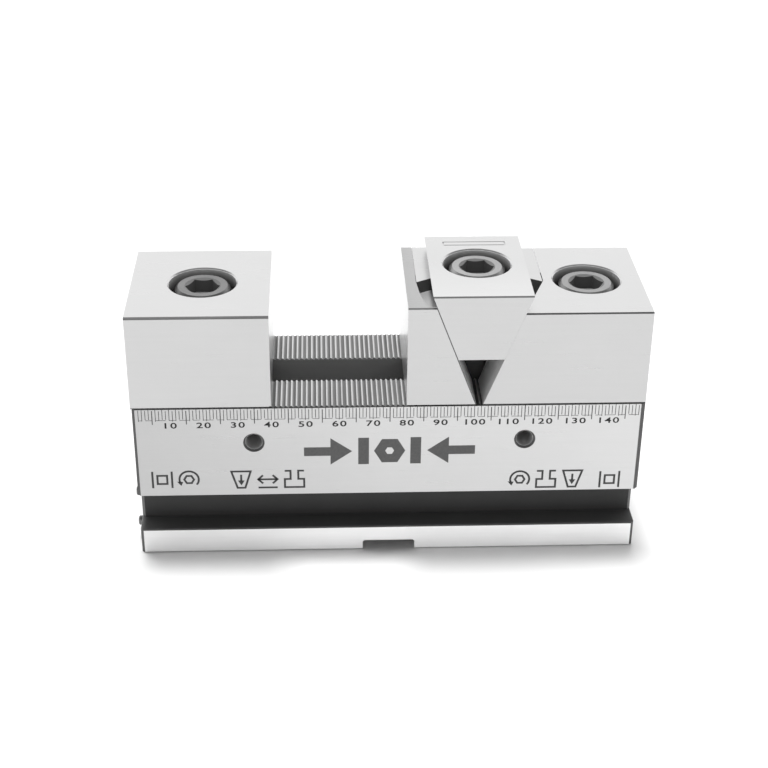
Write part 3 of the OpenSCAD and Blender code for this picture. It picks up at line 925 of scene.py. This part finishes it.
dress(ground_steel("rail_ground_steel", RAIL_TONE, shade=rail_shade, zones=rail_zones,
                   dull=foot_front), "rail")
dress(ground_steel("fixed_jaw_steel", JAW_TONE, shade=fixed_shade, zones=fixed_zones),
      "fixed_jaw")
dress(ground_steel("wedge_block_steel", JAW_TONE, zones=block_zones), "wedge_block")
dress(ground_steel("movable_ground_steel", JAW_TONE, shade=movable_shade,
                   zones=movable_zones), "movable_jaw")
dress(ground_steel("wedge_steel", JAW_TONE, shade=wedge_shade, zones=wedge_zones), "wedge")
dress(key_steel("left_wedge_key", -1), "left_wedge_key")
dress(key_steel("right_wedge_key", 1), "right_wedge_key")
dress(ground_steel("pin_steel", PIN_TONE, roughness=PIN_ROUGHNESS), "joining_dowels", "collar_pin")
dress(black_oxide("black_oxide", OXIDE_TONE),
      "fixed_jaw_keys", "fixed_jaw_key_screws", "fixed_jaw_washer", "fixed_jaw_nut",
      "block_keys", "block_key_screws", "block_washer", "block_nut",
      "wedge_key_screws", "wedge_washer", "wedge_nut", "jaw_guide_foot", "jaw_guide_screws")
# The collar's oxide is painted lighter, as light in the shaded gap below the wedge
dress(black_oxide("collar_oxide", COLLAR_TONE), "wedge_collar")
for screw in HEAD_TONES:
    dress(turned_steel(screw), screw)

build_scale(paint("number_paint", NUMBER_TONE), paint("scale_line_paint", TICK_TONE))
build_mark(paint("mark_paint", MARK_TONE))
build_hints(paint("hint_paint", HINT_TONE))


# ---------------------------------------------------------------- stage
FLOOR_HALF = 60.0

# Brightness of the world's regions, as a white surface that mirrors them would show it
WALL_LIGHT = 1.42               # behind
RING_LIGHT = 0.27               # around and in front
HORIZON_LIGHT = 1.0             # narrow band above the floor's horizon
CEILING_LIGHT = 0.30
ZENITH_LIGHT = 0.95             # straight above
CARD_LIGHT = 1.2                # in front, and seen only in reflections
# Where each region fades in or out: the part of a direction that points to the back
WALL_FADE = (0.15, 0.6)
CARD_FADE = (-0.25, -0.55)
# The same, for the part of a direction that points upwards
HORIZON_FADE = (0.14, 0.07)
CARD_TOP_FADE = (0.75, 0.55)
CEILING_FADE = (0.70, 0.88)
ZENITH_FADE = (0.95, 0.98)

# The overhead lamp's strength and width, and its lean to the back and left, in degrees
OVERHEAD_LIGHT = 1.0
OVERHEAD_WIDTH = 10.0
OVERHEAD_BACK = 5.8
OVERHEAD_LEFT = 2.0

CAMERA_PLACE = Vector((-0.02001, -0.42287, 0.27960))
CAMERA_YAW = 0.0453             # to the right, in radians
CAMERA_PITCH = 0.505            # downwards
CAMERA_ROLL = 0.0099
CAMERA_LENS = 73.39             # in millimetres, as is the sensor
CAMERA_SENSOR = 36.0


def build_floor():
    size = FLOOR_HALF
    mesh = bpy.data.meshes.new("floor")
    mesh.from_pydata([(-size, -size, 0), (size, -size, 0), (size, size, 0), (-size, size, 0)],
                     [], [(0, 1, 2, 3)])
    mesh.materials.append(floor_material())
    floor = bpy.data.objects.new("floor", mesh)
    bpy.context.scene.collection.objects.link(floor)


def build_world():
    """Soft studio: a bright wall behind, a dimmer ring around with a narrow white band at
    the floor's horizon, and a dark ceiling with a soft lamp in its middle. The steel also
    mirrors a bright card in front, so that its tops are light from behind too."""
    world = bpy.data.worlds.new("studio")
    bpy.context.scene.world = world
    world.use_nodes = True
    tree = world.node_tree

    def node(kind, *values, **settings):
        made = tree.nodes.new(kind)
        for key, value in settings.items():
            setattr(made, key, value)
        for index, value in enumerate(values):
            if isinstance(value, bpy.types.NodeSocket):
                tree.links.new(value, made.inputs[index])
            else:
                made.inputs[index].default_value = value
        return made

    def math_node(operation, *values):
        return node("ShaderNodeMath", *values, operation=operation).outputs[0]

    def fade(value, limits, low, high):
        return node("ShaderNodeMapRange", value, *limits, low, high,
                    interpolation_type="SMOOTHSTEP").outputs[0]

    place = node("ShaderNodeTexCoord").outputs["Generated"]
    direction = node("ShaderNodeSeparateXYZ", place).outputs
    to_back, upwards = direction[1], direction[2]
    around = fade(to_back, WALL_FADE, RING_LIGHT, WALL_LIGHT)
    horizon = fade(upwards, HORIZON_FADE, 0.0, HORIZON_LIGHT)
    walls = math_node("MAXIMUM", around, horizon)
    ceiling = fade(upwards, CEILING_FADE, 0.0, 1.0)
    drop = math_node("SUBTRACT", CEILING_LIGHT, walls)
    room = math_node("MULTIPLY_ADD", ceiling, drop, walls)
    zenith = fade(upwards, ZENITH_FADE, 0.0, ZENITH_LIGHT)
    lit = math_node("MAXIMUM", room, zenith)
    card = math_node("MULTIPLY", fade(to_back, CARD_FADE, 0.0, 1.0),
                     fade(upwards, CARD_TOP_FADE, 0.0, CARD_LIGHT))
    glossy = node("ShaderNodeLightPath").outputs["Is Glossy Ray"]
    level = math_node("MAXIMUM", lit, math_node("MULTIPLY", card, glossy))
    background = tree.nodes["Background"]
    background.inputs["Color"].default_value = grey(1.0)
    tree.links.new(level, background.inputs["Strength"])


def build_sun():
    """Large soft lamp almost straight above, a little behind and to the left. The steel
    doesn't mirror this lamp, but the soft one in the middle of the studio's ceiling."""
    lamp = bpy.data.lights.new("overhead", "SUN")
    lamp.energy = math.pi * OVERHEAD_LIGHT
    lamp.angle = math.radians(OVERHEAD_WIDTH)
    sun = bpy.data.objects.new("overhead", lamp)
    sun.visible_glossy = False
    bpy.context.scene.collection.objects.link(sun)
    back, left = math.radians(OVERHEAD_BACK), math.radians(OVERHEAD_LEFT)
    shines_to = Vector((math.tan(left), -math.tan(back), -1))
    sun.rotation_euler = shines_to.to_track_quat("-Z", "Y").to_euler()


def build_camera():
    """The camera, from its place, heading, downward pitch and roll."""
    level_x, level_y = math.sin(CAMERA_YAW), math.cos(CAMERA_YAW)
    ahead = Vector((level_x * math.cos(CAMERA_PITCH), level_y * math.cos(CAMERA_PITCH),
                    -math.sin(CAMERA_PITCH)))
    level_right = Vector((level_y, -level_x, 0))
    level_up = level_right.cross(ahead)
    right = level_right * math.cos(CAMERA_ROLL) + level_up * math.sin(CAMERA_ROLL)
    up = level_up * math.cos(CAMERA_ROLL) - level_right * math.sin(CAMERA_ROLL)
    turn = Matrix((right, up, -ahead)).transposed().to_4x4()
    data = bpy.data.cameras.new("camera")
    data.sensor_width = CAMERA_SENSOR
    data.lens = CAMERA_LENS
    data.clip_start = 0.01
    camera = bpy.data.objects.new("camera", data)
    bpy.context.scene.collection.objects.link(camera)
    camera.matrix_world = Matrix.Translation(CAMERA_PLACE) @ turn
    bpy.context.scene.camera = camera


build_floor()
build_world()
build_sun()
build_camera()
bpy.context.scene.view_settings.view_transform = "Standard"
